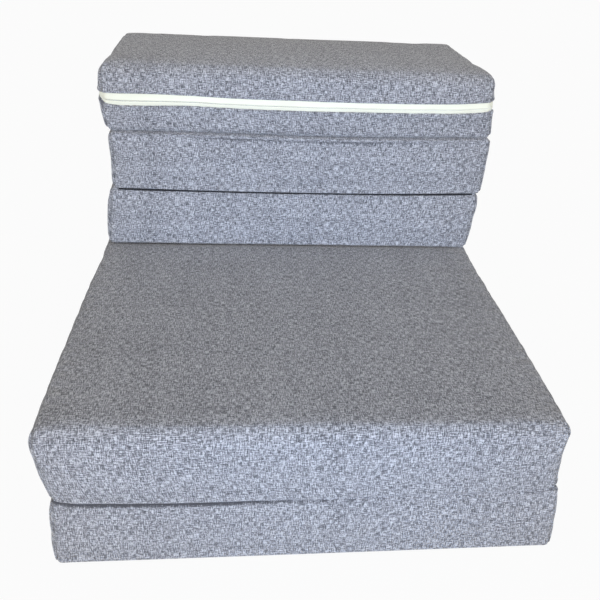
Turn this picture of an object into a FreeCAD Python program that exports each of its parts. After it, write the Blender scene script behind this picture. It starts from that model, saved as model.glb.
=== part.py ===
import FreeCAD, Part
import math
import os

# Convertible chair bed. Five foam blocks of one thickness, each in its own fabric box, are hinged
# edge to edge by sewn folds, so that they stack up as a chair or open out flat as a guest bed.
# X points right as seen from the front, the front faces -Y, Z points up, and the origin is on the
# floor under the middle of the footprint. Sizes are in mm.

# The stack of blocks
layer_pitch = 100.0
layer_gap = 2.4
seat_depth = 740.0
back_depth = 220.0

# Width of the seat, how much narrower each block of the back is, and how far each block sits to
# the right of the middle
seat_width = 655.0
seat_shift = 3.0
lower_trim = 47.0
lower_shift = 10.5
middle_trim = 40.0
middle_shift = 19.5
upper_trim = 32.0
upper_shift = 14.5

# Cushion form of each block
face_crown = 3.0
flat_crown = 0.9
top_crown = 3.0
seat_draw = 7.0
back_draw = 3.0
corner_radius = 13.0
seam_radius = 4.0
foot_radius = 12.0
soft_radius = 18.0
rest_radius = 9.0
least_radius = 0.6

# Cover and foam
cover_wall = 1.2
side_seam = 4.0
foam_clearance = 0.2

# Sewn folds that hinge the blocks
fold_reach = 3.3
fold_wall = 0.9
fold_depth = 16.0

# Zip in the front of the uppermost block
zip_side_run = 130.0
slot_above = 10.5
slot_below = 8.0
tape_wall = 0.8
tape_gap = 1.6
tape_tuck = 5.0
tape_tail = 4.0
tape_clearance = 0.5
tooth_pitch = 8.0
tooth_share = 0.36
tooth_clearance = 0.16
tooth_depth = 1.5
tooth_cross = 1.6
tooth_base = 4.0
stop_length = 3.0
stop_inset = 6.0
stop_rise = 1.0
channel_room = 2.0
channel_margin = 1.0

# Slider
slider_length = 12.0
slider_height = 10.0
slider_neck = 8.8
slider_plate = 1.3
slider_shoulder = 4.0
slider_nose = 7.2
slider_clearance = 0.25
slider_front = 25.0
park_gap = 1.0
lip_wall = 0.7
lip_start = 4.0
lip_end = 3.0
wedge_length = 3.4
wedge_height = 3.6
wedge_inset = 0.6

# Arch on the slider, and the pull that swings on it
arch_bore = 1.05
arch_wall = 1.0
arch_width = 2.0
arch_lift = 1.5
pin_clearance = 0.3
pull_length = 22.0
pull_width = 8.0
pull_wall = 1.0
pull_leg = 1.3
pull_eye = 3.0
pull_corner = 2.5

# Room that cutting tools are given past the piece that they cut, and outlines past the crowned faces
overshoot = 5.0
outside = 60.0
outline_margin = 0.1

half_gap = layer_gap / 2.0
front_y = -seat_depth / 2.0
rear_y = seat_depth / 2.0
back_front_y = rear_y - back_depth


def vec(x, y, z):
    return FreeCAD.Vector(x, y, z)


def box(x0, x1, y0, y1, z0, z1):
    return Part.makeBox(x1 - x0, y1 - y0, z1 - z0, vec(x0, y0, z0))


class Block:
    """One foam block: its layer in the stack, its front and rear, its ends and its edges."""

    def __init__(self, layer, front, rear, middle, width, draw, radii, crowns):
        self.front = front
        self.rear = rear
        self.low = layer * layer_pitch + (half_gap if layer else 0.0)
        self.high = (layer + 1) * layer_pitch - half_gap
        self.left = middle - width / 2.0
        self.right = middle + width / 2.0
        self.draw = draw
        self.radii = radii
        self.low_crown, self.high_crown = crowns


# Edge radii are given as front low, rear low, rear high, front high. A hinged edge is drawn out
# square by its seam, and a free edge is rounded by the foam.
seat_base = Block(
    0, front_y, rear_y, seat_shift, seat_width, seat_draw,
    (foot_radius, foot_radius, soft_radius, seam_radius), (0.0, flat_crown),
)
seat_top = Block(
    1, front_y, rear_y, -seat_shift, seat_width, seat_draw,
    (seam_radius, soft_radius, seam_radius, soft_radius), (flat_crown, flat_crown),
)
back_lower = Block(
    2, back_front_y, rear_y, lower_shift, seat_width - lower_trim, back_draw,
    (rest_radius, seam_radius, soft_radius, seam_radius), (flat_crown, flat_crown),
)
back_middle = Block(
    3, back_front_y, rear_y, middle_shift, seat_width - middle_trim, back_draw,
    (seam_radius, soft_radius, seam_radius, rest_radius), (flat_crown, flat_crown),
)
back_upper = Block(
    4, back_front_y, rear_y, upper_shift, seat_width - upper_trim, back_draw,
    (rest_radius, seam_radius, soft_radius, soft_radius), (flat_crown, top_crown),
)
blocks = {
    "seat_base": seat_base,
    "seat_top": seat_top,
    "back_lower": back_lower,
    "back_middle": back_middle,
    "back_upper": back_upper,
}


class Side:
    """One side of an outline that runs anticlockwise about a normal. A crown bows it outward, and
    a negative one inward."""

    def __init__(self, start, end, crown, normal):
        self.start = start
        self.crown = crown
        along = end - start
        self.inward = normal.cross(along).normalize()
        if crown:
            bow = abs(crown)
            self.radius = ((along.Length / 2.0) ** 2 + bow ** 2) / (2.0 * bow)
            reach = math.copysign(self.radius - bow, crown)
            self.centre = (start + end) * 0.5 + self.inward * reach

    def foot(self, point):
        """The place on the side nearest to a point."""
        if self.crown:
            return self.centre + (point - self.centre).normalize() * self.radius
        return point - self.inward * (point - self.start).dot(self.inward)

    def inward_at(self, point):
        if self.crown:
            return (self.centre - point).normalize() * math.copysign(1.0, self.crown)
        return self.inward

    def edge(self, start, end):
        if self.crown:
            return Part.Arc(start, self.foot((start + end) * 0.5), end).toShape()
        return Part.LineSegment(start, end).toShape()


def rounded_edges(corners, crowns, radii, normal):
    """Bowed sides joined by roundings tangent to both: side 0, rounding 1, side 1 and so on. The
    centre of a rounding is found by stepping off each of its sides in turn until it settles."""
    sides = []
    for i, crown in enumerate(crowns):
        sides.append(Side(corners[i], corners[(i + 1) % 4], crown, normal))
    centres = []
    for i, radius in enumerate(radii):
        centre = corners[i]
        for step in range(20):
            for side in (sides[i - 1], sides[i]):
                centre = side.foot(centre) + side.inward_at(centre) * radius
        centres.append(centre)
    edges = []
    for i in range(4):
        j = (i + 1) % 4
        start, end = sides[i].foot(centres[i]), sides[i].foot(centres[j])
        edges.append(sides[i].edge(start, end))
        leave = sides[j].foot(centres[j])
        outward = ((end + leave) * 0.5 - centres[j]).normalize()
        edges.append(Part.Arc(end, centres[j] + outward * radii[j], leave).toShape())
    return edges


def profile_prism(block, inset):
    """The block's profile of crowned faces and rounded edges, drawn out across its width."""
    x0 = block.left - outside
    y0, y1 = block.front + inset, block.rear - inset
    z0, z1 = block.low + inset, block.high - inset
    corners = [vec(x0, y0, z0), vec(x0, y1, z0), vec(x0, y1, z1), vec(x0, y0, z1)]
    crowns = [block.low_crown, face_crown, block.high_crown, face_crown]
    radii = [max(radius - inset, least_radius) for radius in block.radii]
    wire = Part.Wire(rounded_edges(corners, crowns, radii, vec(1.0, 0.0, 0.0)))
    return Part.Face(wire).extrude(vec(block.right - block.left + 2.0 * outside, 0.0, 0.0))


def plan_edges(block, inset, margin, z):
    """The outline in plan: straight front and rear at the top of their crowns, drawn-in sides and
    rounded corners. Side 0 is the front and side 1 the right."""
    left, right = block.left + inset, block.right - inset
    front = block.front - face_crown - margin + inset
    rear = block.rear + face_crown + margin - inset
    corners = [vec(left, front, z), vec(right, front, z), vec(right, rear, z), vec(left, rear, z)]
    crowns = [0.0, -block.draw, 0.0, -block.draw]
    return rounded_edges(corners, crowns, [corner_radius - inset] * 4, vec(0.0, 0.0, 1.0))


solids_made = {}


def block_solid(block, inset):
    """The whole block, drawn in by an inset all round. Each is made once."""
    key = (block.low, inset)
    if key not in solids_made:
        z0, z1 = block.low - overshoot, block.high + overshoot
        plan = Part.Face(Part.Wire(plan_edges(block, inset, outline_margin, z0)))
        solids_made[key] = profile_prism(block, inset).common(plan.extrude(vec(0.0, 0.0, z1 - z0)))
    return solids_made[key]


def side_shift(block, offset):
    """How far a drawn-in side stands inside its end, at an offset from the middle of its depth."""
    half = (block.rear - block.front) / 2.0 + face_crown
    radius = (half ** 2 + block.draw ** 2) / (2.0 * block.draw)
    return block.draw - radius + math.sqrt(radius ** 2 - offset ** 2)


def wrap_band(block):
    """The room between the two side seams, longer than the block at front and rear."""
    middle = (block.front + block.rear) / 2.0
    reach = (block.rear - block.front) / 2.0 + outside
    z0, z1 = block.low - overshoot, block.high + overshoot
    left, right = block.left + side_seam, block.right - side_seam
    shift, shift_in = side_shift(block, reach), side_shift(block, 0.0)
    fl, fr = vec(left + shift, middle - reach, z0), vec(right - shift, middle - reach, z0)
    rr, rl = vec(right - shift, middle + reach, z0), vec(left + shift, middle + reach, z0)
    edges = [
        Part.LineSegment(fl, fr).toShape(),
        Part.Arc(fr, vec(right - shift_in, middle, z0), rr).toShape(),
        Part.LineSegment(rr, rl).toShape(),
        Part.Arc(rl, vec(left + shift_in, middle, z0), fl).toShape(),
    ]
    return Part.Face(Part.Wire(edges)).extrude(vec(0.0, 0.0, z1 - z0))


def one_solid(shape):
    return shape.Solids[0] if len(shape.Solids) == 1 else shape


nodes = {}


def add_block(name, block):
    """A fabric wrap with a panel sewn into each end, round a block of foam."""
    shell = block_solid(block, 0.0).cut(block_solid(block, cover_wall))
    band = wrap_band(block)
    nodes[name + "_cover"] = one_solid(shell.common(band))
    for panel in shell.cut(band).Solids:
        side = "_side_right" if panel.CenterOfMass.x > 0.0 else "_side_left"
        nodes[name + side] = panel
    nodes[name + "_foam"] = one_solid(block_solid(block, cover_wall + foam_clearance))


for block_name, block in blocks.items():
    add_block(block_name, block)


def add_fold(name, below, above, seam_y, outward):
    """A folded web of fabric that hinges two blocks: its bend is on the axis, just proud of the
    faces, and its two layers run into the crease and meet the cover of each block."""
    z = above.low - half_gap
    x0 = max(below.left, above.left) + corner_radius
    x1 = min(below.right, above.right) - corner_radius
    bend_y = seam_y + outward * fold_reach
    inner_y = seam_y - outward * fold_depth
    slot = half_gap - fold_wall
    near, far = min(bend_y, inner_y), max(bend_y, inner_y)
    across = vec(1.0, 0.0, 0.0)
    web = box(x0, x1, near, far, z - half_gap, z + half_gap)
    web = web.fuse(Part.makeCylinder(half_gap, x1 - x0, vec(x0, bend_y, z), across))
    start, end = x0 - overshoot, x1 + overshoot
    past = inner_y - outward * overshoot
    near, far = min(bend_y, past), max(bend_y, past)
    web = web.cut(box(start, end, near, far, z - slot, z + slot))
    web = web.cut(Part.makeCylinder(slot, end - start, vec(start, bend_y, z), across))
    for block in (below, above):
        web = web.cut(profile_prism(block, 0.0))
    nodes[name] = one_solid(web.removeSplitter())
    return bend_y, z


fold_axes = {
    "seat_fold": add_fold("front_fold_strip", seat_base, seat_top, front_y, -1.0),
    "lower_back_fold": add_fold("rear_lower_fold_strip", seat_top, back_lower, rear_y, 1.0),
    "middle_back_fold": add_fold("middle_fold_strip", back_lower, back_middle, back_front_y, -1.0),
    "upper_back_fold": add_fold("rear_upper_fold_strip", back_middle, back_upper, rear_y, 1.0),
}

# The zip runs across the front of the uppermost block and round both corners onto its sides. The
# depths of its layers are measured inward from the face of the cover.
zip_z = (back_upper.low + back_upper.high) / 2.0
tape_face = cover_wall + tape_clearance
tape_back = tape_face + tape_wall
tooth_face = tape_back + tooth_clearance
tooth_back = tooth_face + tooth_depth
tooth_width = tooth_pitch * tooth_share
run_end = back_upper.front + zip_side_run
stop_y = run_end - stop_inset
park_y = stop_y - park_gap - slider_length / 2.0


def zip_band(face, back, z0, z1, run):
    """An upright band that follows the front and both sides of the block, between two depths."""
    outer = Part.Face(Part.Wire(plan_edges(back_upper, face, 0.0, z0)))
    inner = Part.Face(Part.Wire(plan_edges(back_upper, back, 0.0, z0)))
    ring = outer.cut(inner).extrude(vec(0.0, 0.0, z1 - z0))
    x0, x1 = back_upper.left - outside, back_upper.right + outside
    return ring.common(box(x0, x1, back_upper.front - outside, run, z0, z1))


def add_tapes():
    slot = box(
        back_upper.left - outside, back_upper.right + outside, back_upper.front - outside, run_end,
        zip_z - slot_below, zip_z + slot_above,
    )
    for piece in ("back_upper_cover", "back_upper_side_left", "back_upper_side_right"):
        nodes[piece] = one_solid(nodes[piece].cut(slot))
    tape_end = run_end + tape_tail
    low, high = zip_z - slot_below - tape_tuck, zip_z + slot_above + tape_tuck
    edge = tape_gap / 2.0
    upper = zip_band(tape_face, tape_back, zip_z + edge, high, tape_end)
    lower = zip_band(tape_face, tape_back, low, zip_z - edge, tape_end)
    nodes["zip_tape_upper"] = one_solid(upper)
    nodes["zip_tape_lower"] = one_solid(lower)
    channel = zip_band(
        0.0, tooth_back + slider_clearance + slider_plate + channel_room,
        low - channel_margin, high + channel_margin, tape_end + channel_margin,
    )
    nodes["back_upper_foam"] = one_solid(nodes["back_upper_foam"].cut(channel))


def zip_place(edges, distance):
    """The place and heading at a distance along edges that run on from each other."""
    for edge in edges:
        if distance <= edge.Length:
            at = edge.getParameterByLength(distance)
            along = edge.tangentAt(at)
            return edge.valueAt(at), math.degrees(math.atan2(along.y, along.x))
        distance -= edge.Length


def add_teeth():
    """Two rows of teeth on the backs of the tapes. They cross the gap, and those of one row stand
    between those of the other. The upper row starts from the middle of the front."""
    edges = plan_edges(back_upper, tooth_face + tooth_depth / 2.0, 0.0, 0.0)
    path = [edges[6], edges[7], edges[0], edges[1], edges[2]]
    whole = sum(edge.Length for edge in path)
    middle = path[0].Length + path[1].Length + path[2].Length / 2.0
    left_limit = stop_y - tooth_width
    right_limit = park_y - tooth_width / 2.0
    for side, share, z0, z1 in (
        ("upper", 0.0, zip_z - tooth_cross, zip_z + tooth_base),
        ("lower", 0.5, zip_z - tooth_base, zip_z + tooth_cross),
    ):
        row = []
        distance = math.fmod(middle + share * tooth_pitch, tooth_pitch)
        while distance < whole:
            place, angle = zip_place(path, distance)
            if place.y < (left_limit if distance < middle else right_limit):
                half, deep = tooth_width / 2.0, tooth_depth / 2.0
                tooth = box(-half, half, -deep, deep, z0, z1)
                tooth.rotate(vec(0.0, 0.0, 0.0), vec(0.0, 0.0, 1.0), angle)
                tooth.translate(vec(place.x, place.y, 0.0))
                row.append(tooth)
            distance += tooth_pitch
        nodes["zip_teeth_" + side] = Part.makeCompound(row)


def add_stops():
    reach = tooth_base + stop_rise
    band = zip_band(tooth_face, tooth_back, zip_z - reach, zip_z + reach, stop_y + stop_length)
    x0, x1 = back_upper.left - outside, back_upper.right + outside
    nodes["zip_end_stops"] = band.common(box(x0, x1, stop_y, run_end, 0.0, zip_z + outside))


add_tapes()
add_teeth()
add_stops()


# Slider and pull are made along their own line, with X to the rear, Y into the block and Z up, and
# are then set on the right side, where the slider stands at the closed end of the zip
def right_surface(y):
    middle = (back_upper.front + back_upper.rear) / 2.0
    return vec(back_upper.right - side_shift(back_upper, y - middle), y, zip_z)


park = right_surface(park_y)
turn_off = right_surface(back_upper.front + slider_front)
heading = (park - turn_off).normalize()
heading_angle = math.degrees(math.atan2(heading.y, heading.x))


def set_on_side(shape):
    shape.rotate(vec(0.0, 0.0, 0.0), vec(0.0, 0.0, 1.0), heading_angle)
    shape.translate(park)
    return shape


def flat_piece(points, y0, y1):
    """An outline in the plane of the tape, made solid between two depths."""
    corners = [vec(x, y0, z) for x, z in points]
    return Part.Face(Part.makePolygon(corners + corners[:1])).extrude(vec(0.0, y1 - y0, 0.0))


def slider_shape(outer_face, pin_y):
    """Two plates with a wedge between them that parts the teeth, lips along the rows of teeth, and
    an arch for the pull. The plates are narrow where the closed chain leaves them."""
    half = slider_length / 2.0
    narrow, wide, nose = slider_neck / 2.0, slider_height / 2.0, slider_nose / 2.0
    shoulder = half - slider_shoulder
    plate = [(-half, -narrow), (shoulder, -wide), (half, -nose)]
    plate += [(half, nose), (shoulder, wide), (-half, narrow)]
    inner_face = tooth_back + slider_clearance
    behind_tape = tape_back + slider_clearance
    body = flat_piece(plate, outer_face - slider_plate, outer_face)
    body = body.fuse(flat_piece(plate, inner_face, inner_face + slider_plate))
    wedge_end = half - wedge_inset
    wedge_start = wedge_end - wedge_length
    wedge_middle = wedge_end - wedge_length / 2.0
    post = tape_gap / 2.0 - slider_clearance
    body = body.fuse(box(wedge_start, wedge_end, outer_face, inner_face, -post, post))
    tip = wedge_height / 2.0
    diamond = [(wedge_start, 0.0), (wedge_middle, -tip), (wedge_end, 0.0), (wedge_middle, tip)]
    body = body.fuse(flat_piece(diamond, behind_tape, inner_face))
    lip = tooth_base + slider_clearance
    for z0, z1 in ((lip, lip + lip_wall), (-lip - lip_wall, -lip)):
        body = body.fuse(box(lip_start - half, half - lip_end, behind_tape, inner_face, z0, z1))
    start, up = vec(0.0, pin_y, -arch_width / 2.0), vec(0.0, 0.0, 1.0)
    arch = Part.makeCylinder(arch_bore + arch_wall, arch_width, start, up)
    arch = arch.cut(Part.makeCylinder(arch_bore, arch_width, start, up))
    return body.fuse(arch).removeSplitter()


def pull_shape(pin_y):
    """A tab with rounded ends on two legs, and the pin that joins the legs through the arch."""
    leg_in = arch_width / 2.0 + pin_clearance
    leg_out = leg_in + pull_leg
    start, up = vec(0.0, pin_y, -leg_out), vec(0.0, 0.0, 1.0)
    pull = Part.makeCylinder(arch_bore - pin_clearance, 2.0 * leg_out, start, up)
    y0, y1 = pin_y - pull_wall / 2.0, pin_y + pull_wall / 2.0
    half = pull_width / 2.0
    tab = box(pull_eye, pull_length, y0, y1, -half, half)
    corners = []
    for edge in tab.Edges:
        a, b = edge.Vertexes[0].Point, edge.Vertexes[-1].Point
        if min(a.x, b.x) > pull_eye and abs(a.y - b.y) > pull_wall / 2.0:
            corners.append(edge)
    pull = pull.fuse(tab.makeFillet(pull_corner, corners))
    for z0, z1 in ((leg_in, leg_out), (-leg_out, -leg_in)):
        pull = pull.fuse(box(0.0, pull_eye, y0, y1, z0, z1))
    return pull.removeSplitter()


slider_face = tape_face - slider_clearance
pin_depth = slider_face - slider_plate - arch_lift
nodes["zip_slider_body"] = set_on_side(one_solid(slider_shape(slider_face, pin_depth)))
nodes["zip_pull_tab"] = set_on_side(one_solid(pull_shape(pin_depth)))
pin_place = park + vec(-heading.y, heading.x, 0.0) * pin_depth

os.makedirs("parts", exist_ok=True)
for node, shape in nodes.items():
    shape.exportStep("parts/" + node + ".step")

for joint, (y, z) in fold_axes.items():
    print("%s axis at y %.3f z %.3f" % (joint, y, z))
print("slider heading %.5f %.5f travel %.3f" % (heading.x, heading.y, (park - turn_off).Length))
print("pull pin at %.3f %.3f %.3f" % (pin_place.x, pin_place.y, pin_place.z))
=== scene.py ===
import math

import bmesh
import bpy
import numpy as np
from mathutils import Matrix, Vector
from mathutils.bvhtree import BVHTree


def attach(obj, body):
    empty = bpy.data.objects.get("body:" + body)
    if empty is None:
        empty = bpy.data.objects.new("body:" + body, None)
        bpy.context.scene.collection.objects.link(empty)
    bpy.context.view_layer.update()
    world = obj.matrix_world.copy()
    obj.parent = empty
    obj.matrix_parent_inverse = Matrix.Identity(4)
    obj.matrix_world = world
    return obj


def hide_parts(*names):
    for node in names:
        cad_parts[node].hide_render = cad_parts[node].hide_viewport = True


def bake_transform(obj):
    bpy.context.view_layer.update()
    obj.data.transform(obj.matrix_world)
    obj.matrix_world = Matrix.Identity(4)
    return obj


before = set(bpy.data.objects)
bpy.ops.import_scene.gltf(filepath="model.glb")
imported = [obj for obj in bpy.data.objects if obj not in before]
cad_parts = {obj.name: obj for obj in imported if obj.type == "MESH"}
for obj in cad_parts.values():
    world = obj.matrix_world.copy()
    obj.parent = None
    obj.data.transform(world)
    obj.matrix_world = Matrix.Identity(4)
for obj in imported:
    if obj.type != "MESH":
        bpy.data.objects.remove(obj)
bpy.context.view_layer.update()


# Cover cloth. A linen look in grey, woven from thick and thin yarns in dark and light greys, which
# run across the chair and up and over each block, about half a millimetre apart.

class Strand:
    """A value that runs through a material's nodes: arithmetic on it adds the Math nodes."""

    def __init__(self, tree, socket):
        self.tree = tree
        self.socket = socket

    def maths(self, operation, first, second=0.0):
        return knot(self.tree, "ShaderNodeMath", {"operation": operation}, [first, second])

    def twin(self, output):
        """Another output of the same node."""
        return Strand(self.tree, self.socket.node.outputs[output])

    def __add__(self, other):
        return self.maths("ADD", self, other)

    def __radd__(self, other):
        return self.maths("ADD", other, self)

    def __sub__(self, other):
        return self.maths("SUBTRACT", self, other)

    def __rsub__(self, other):
        return self.maths("SUBTRACT", other, self)

    def __mul__(self, other):
        return self.maths("MULTIPLY", self, other)

    def __rmul__(self, other):
        return self.maths("MULTIPLY", other, self)

    def __truediv__(self, other):
        return self.maths("DIVIDE", self, other)


def knot(tree, kind, settings, values, output=0):
    """One node: its settings first, then a value or a link for each of its sockets."""
    node = tree.nodes.new(kind)
    for name, setting in settings.items():
        if name == "stops":
            ramp = node.color_ramp
            while len(ramp.elements) < len(setting):
                ramp.elements.new(0.5)
            for element, (place, colour) in zip(ramp.elements, setting):
                element.position = place
                element.color = (*colour, 1.0)
        else:
            setattr(node, name, setting)
    pairs = values.items() if isinstance(values, dict) else enumerate(values)
    for socket, value in pairs:
        if isinstance(value, Strand):
            tree.links.new(value.socket, node.inputs[socket])
        elif value is not None:
            node.inputs[socket].default_value = value
    return Strand(tree, node.outputs[output])


def new_finish(name, roughness, sheen=0.0):
    """An empty material with its shader, which keeps the same roughness and sheen all over."""
    finish = bpy.data.materials.new(name)
    finish.use_nodes = True
    tree = finish.node_tree
    shader = tree.nodes["Principled BSDF"]
    shader.inputs["Roughness"].default_value = roughness
    shader.inputs["Sheen Weight"].default_value = sheen
    shader.inputs["Sheen Roughness"].default_value = 0.5
    return finish, tree, shader


yarn, slub = 0.00055, 0.0085
yarn_streak = 5.0
yarn_contrast, slub_contrast, cloud_contrast, seam_shade = 1.7, 1.05, 0.10, 0.12
weave_relief = 0.5


def linen(name, dark, middle, light):
    """A plain weave whose warp and weft are each streaked along their own direction, and which is
    darker where its point attribute says so: along the sewn seams, and as painted shade in the
    creases."""
    finish, tree, shader = new_finish(name, 0.92, 0.25)
    place = knot(tree, "ShaderNodeUVMap", {"uv_map": "cloth"}, [])
    across = knot(tree, "ShaderNodeSeparateXYZ", {}, [place], 0)
    along = across.twin(1)

    def streaks(u, v, apart, detail):
        spot = knot(tree, "ShaderNodeCombineXYZ", {}, [u, v, apart])
        return knot(
            tree, "ShaderNodeTexNoise", {"noise_dimensions": "3D"},
            {"Vector": spot, "Scale": 1.0, "Detail": detail, "Roughness": 0.55},
        )

    weft = streaks(across / (yarn_streak * yarn), along / yarn, 0.0, 2.0)
    warp = streaks(across / yarn, along / (yarn_streak * yarn), 17.0, 2.0)
    wave = math.pi / (1.1 * yarn)
    over = across.maths("SINE", across * wave) * across.maths("SINE", along * wave) * 0.5 + 0.5
    thick_weft = streaks(across / slub, along / (2.0 * yarn), 31.0, 1.0)
    thick_warp = streaks(across / (2.0 * yarn), along / slub, 43.0, 1.0)
    cloud = streaks(across * 9.0, along * 9.0, 3.0, 3.0)
    bands = streaks(across * 3.0, along * 60.0, 9.0, 2.0)
    bands = bands + streaks(across * 60.0, along * 3.0, 5.0, 2.0)
    tone = (weft * over + warp * (1.0 - over) - 0.5) * yarn_contrast
    tone = tone + (thick_weft + thick_warp - 1.0) * slub_contrast + 0.5
    tone = tone + (cloud - 0.5) * cloud_contrast + (bands - 1.0) * cloud_contrast
    # Painted shade: the point attribute darkens the cloth along the sewn seams and in the creases.
    seam = knot(tree, "ShaderNodeAttribute", {"attribute_name": "seam"}, [], 2)
    tone = tone - seam * seam_shade
    colour = knot(
        tree, "ShaderNodeValToRGB",
        {"stops": [(0.30, dark), (0.52, middle), (0.74, light)]}, [tone],
    )
    bump = knot(
        tree, "ShaderNodeBump", {},
        {"Strength": weave_relief, "Distance": 0.0006, "Height": tone + over * 0.25},
    )
    tree.links.new(colour.socket, shader.inputs["Base Color"])
    tree.links.new(bump.socket, shader.inputs["Normal"])
    return finish


cover_cloth = linen(
    "cover_cloth", (0.070, 0.070, 0.078), (0.232, 0.231, 0.246), (0.53, 0.53, 0.55)
)


# Foam blocks in their covers. Each is a slab of foam in a fabric box, drawn in along its sides,
# pushed out at its corners and settled on the one below it. All lengths are in metres.

def smooth_line(points):
    """A smooth curve through measured points, as a function of their first number."""
    at, value = np.array(points, float).T
    slope = np.gradient(value, at)

    def follow(q):
        q = np.clip(q, at[0], at[-1])
        i = np.clip(np.searchsorted(at, q) - 1, 0, len(at) - 2)
        step = at[i + 1] - at[i]
        u = (q - at[i]) / step
        start = value[i] * (1 + 2 * u) + step * slope[i] * u
        end = value[i + 1] * (3 - 2 * u) - step * slope[i + 1] * (1 - u)
        return start * (1 - u) ** 2 + end * u ** 2

    return follow


def ramp(value, low, high):
    share = np.clip((value - low) / (high - low), 0, 1)
    return share * share * (3 - 2 * share)


def bell(value, middle, width):
    return np.exp(-(((value - middle) / width) ** 2))


quarter_turn = math.pi / 2
corner_steps = 4
seat_front, stack_front, chair_rear = -0.370, 0.150, 0.370
half_width, block_height = 0.31, 0.1

# Height of each layer's lower face along the front, from left to right
layers = [
    smooth_line([(-0.34, 0.0), (0.34, 0.0)]),
    smooth_line([
        (-0.340, 0.1060), (-0.322, 0.1035), (-0.303, 0.0990), (-0.2525, 0.0956), (-0.190, 0.0938),
        (-0.126, 0.0932), (-0.063, 0.0938), (0.0, 0.0936), (0.063, 0.0948), (0.126, 0.0963),
        (0.190, 0.0969), (0.2525, 0.0975), (0.309, 0.1010), (0.335, 0.1050),
    ]),
    smooth_line([
        (-0.300, 0.2025), (-0.150, 0.2000), (0.020, 0.1985), (0.200, 0.1970), (0.315, 0.1970),
    ]),
    smooth_line([
        (-0.290, 0.3015), (-0.150, 0.2980), (0.015, 0.2965), (0.180, 0.2970), (0.325, 0.3005),
    ]),
    smooth_line([
        (-0.295, 0.3960), (-0.085, 0.3950), (0.010, 0.3932), (0.175, 0.3940), (0.330, 0.3975),
    ]),
    smooth_line([
        (-0.300, 0.5000), (-0.085, 0.4985), (0.010, 0.4975), (0.175, 0.4985), (0.330, 0.4995),
    ]),
]


class Slab:
    """One block: its body and layer, its front, the radii of its long edges from front low round to
    front high, its crowns below, behind, above and in front, the lines of its two ends up the
    front, and how far each end draws in towards the rear."""

    def __init__(self, body, layer, front, radii, crowns, left, right, left_in, right_in):
        self.body = body
        self.layer = layer
        self.front = front
        self.rear = chair_rear
        self.low = block_height * layer
        self.high = self.low + block_height
        self.radii = radii
        self.crowns = crowns
        self.left = smooth_line(left)
        self.right = smooth_line(right)
        self.left_in = smooth_line(left_in)
        self.right_in = smooth_line(right_in)


base_draw = [(0.0, 0.0), (0.15, 0.005), (0.37, 0.010), (0.60, 0.010), (0.74, 0.006)]
stack_draw = [(0.0, 0.0), (0.11, 0.005), (0.22, 0.004)]
seat_base = Slab(
    "seat_base", 0, seat_front, (0.005, 0.011, 0.016, 0.009), (0.0, 0.004, 0.0, 0.005),
    [(0.0, -0.3265), (0.05, -0.3265), (0.10, -0.3250)],
    [(0.0, 0.3325), (0.05, 0.3305), (0.10, 0.3270)],
    base_draw, base_draw,
)
seat_top = Slab(
    "seat_top", 1, seat_front, (0.003, 0.016, 0.012, 0.017), (0.0, 0.004, 0.001, 0.005),
    [(0.10, -0.3245), (0.13, -0.3325), (0.155, -0.3375), (0.18, -0.3420), (0.20, -0.3425)],
    [(0.10, 0.3250), (0.13, 0.3230), (0.155, 0.3235), (0.18, 0.3270), (0.20, 0.3300)],
    [(0.0, 0.0), (0.07, 0.003), (0.15, 0.008), (0.22, 0.0135), (0.30, 0.019), (0.40, 0.027),
     (0.52, 0.038), (0.64, 0.040), (0.74, 0.034)],
    [(0.0, 0.0), (0.10, 0.002), (0.20, 0.006), (0.30, 0.010), (0.40, 0.0155), (0.52, 0.018),
     (0.64, 0.018), (0.74, 0.012)],
)
back_lower = Slab(
    "back_lower", 2, stack_front, (0.005, 0.012, 0.012, 0.011), (0.0, 0.003, 0.0, 0.003),
    [(0.20, -0.3005), (0.25, -0.2975), (0.30, -0.2935)],
    [(0.20, 0.3115), (0.25, 0.3175), (0.28, 0.3210), (0.30, 0.3200)],
    stack_draw, stack_draw,
)
back_middle = Slab(
    "back_middle", 3, stack_front - 0.0012, (0.003, 0.012, 0.012, 0.006), (0.0, 0.003, 0.0, 0.003),
    [(0.30, -0.2900), (0.33, -0.2875), (0.36, -0.2885), (0.40, -0.2925)],
    [(0.30, 0.3245), (0.33, 0.3250), (0.36, 0.3265), (0.40, 0.3300)],
    stack_draw, stack_draw,
)
back_upper = Slab(
    "back_upper", 4, stack_front, (0.008, 0.012, 0.016, 0.017), (0.0, 0.003, 0.004, 0.004),
    [(0.40, -0.2945), (0.42, -0.2980), (0.45, -0.3005), (0.48, -0.3010), (0.50, -0.3005)],
    [(0.40, 0.3295), (0.42, 0.3260), (0.45, 0.3235), (0.48, 0.3235), (0.50, 0.3235)],
    [(0.0, 0.0), (0.03, 0.001), (0.06, 0.005), (0.08, 0.0085), (0.12, 0.012), (0.17, 0.016),
     (0.22, 0.021)],
    [(0.0, 0.0), (0.03, 0.001), (0.055, 0.005), (0.08, 0.012), (0.12, 0.017), (0.17, 0.024),
     (0.22, 0.031)],
)

end_radius = 0.012
face_step = 0.010

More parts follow.
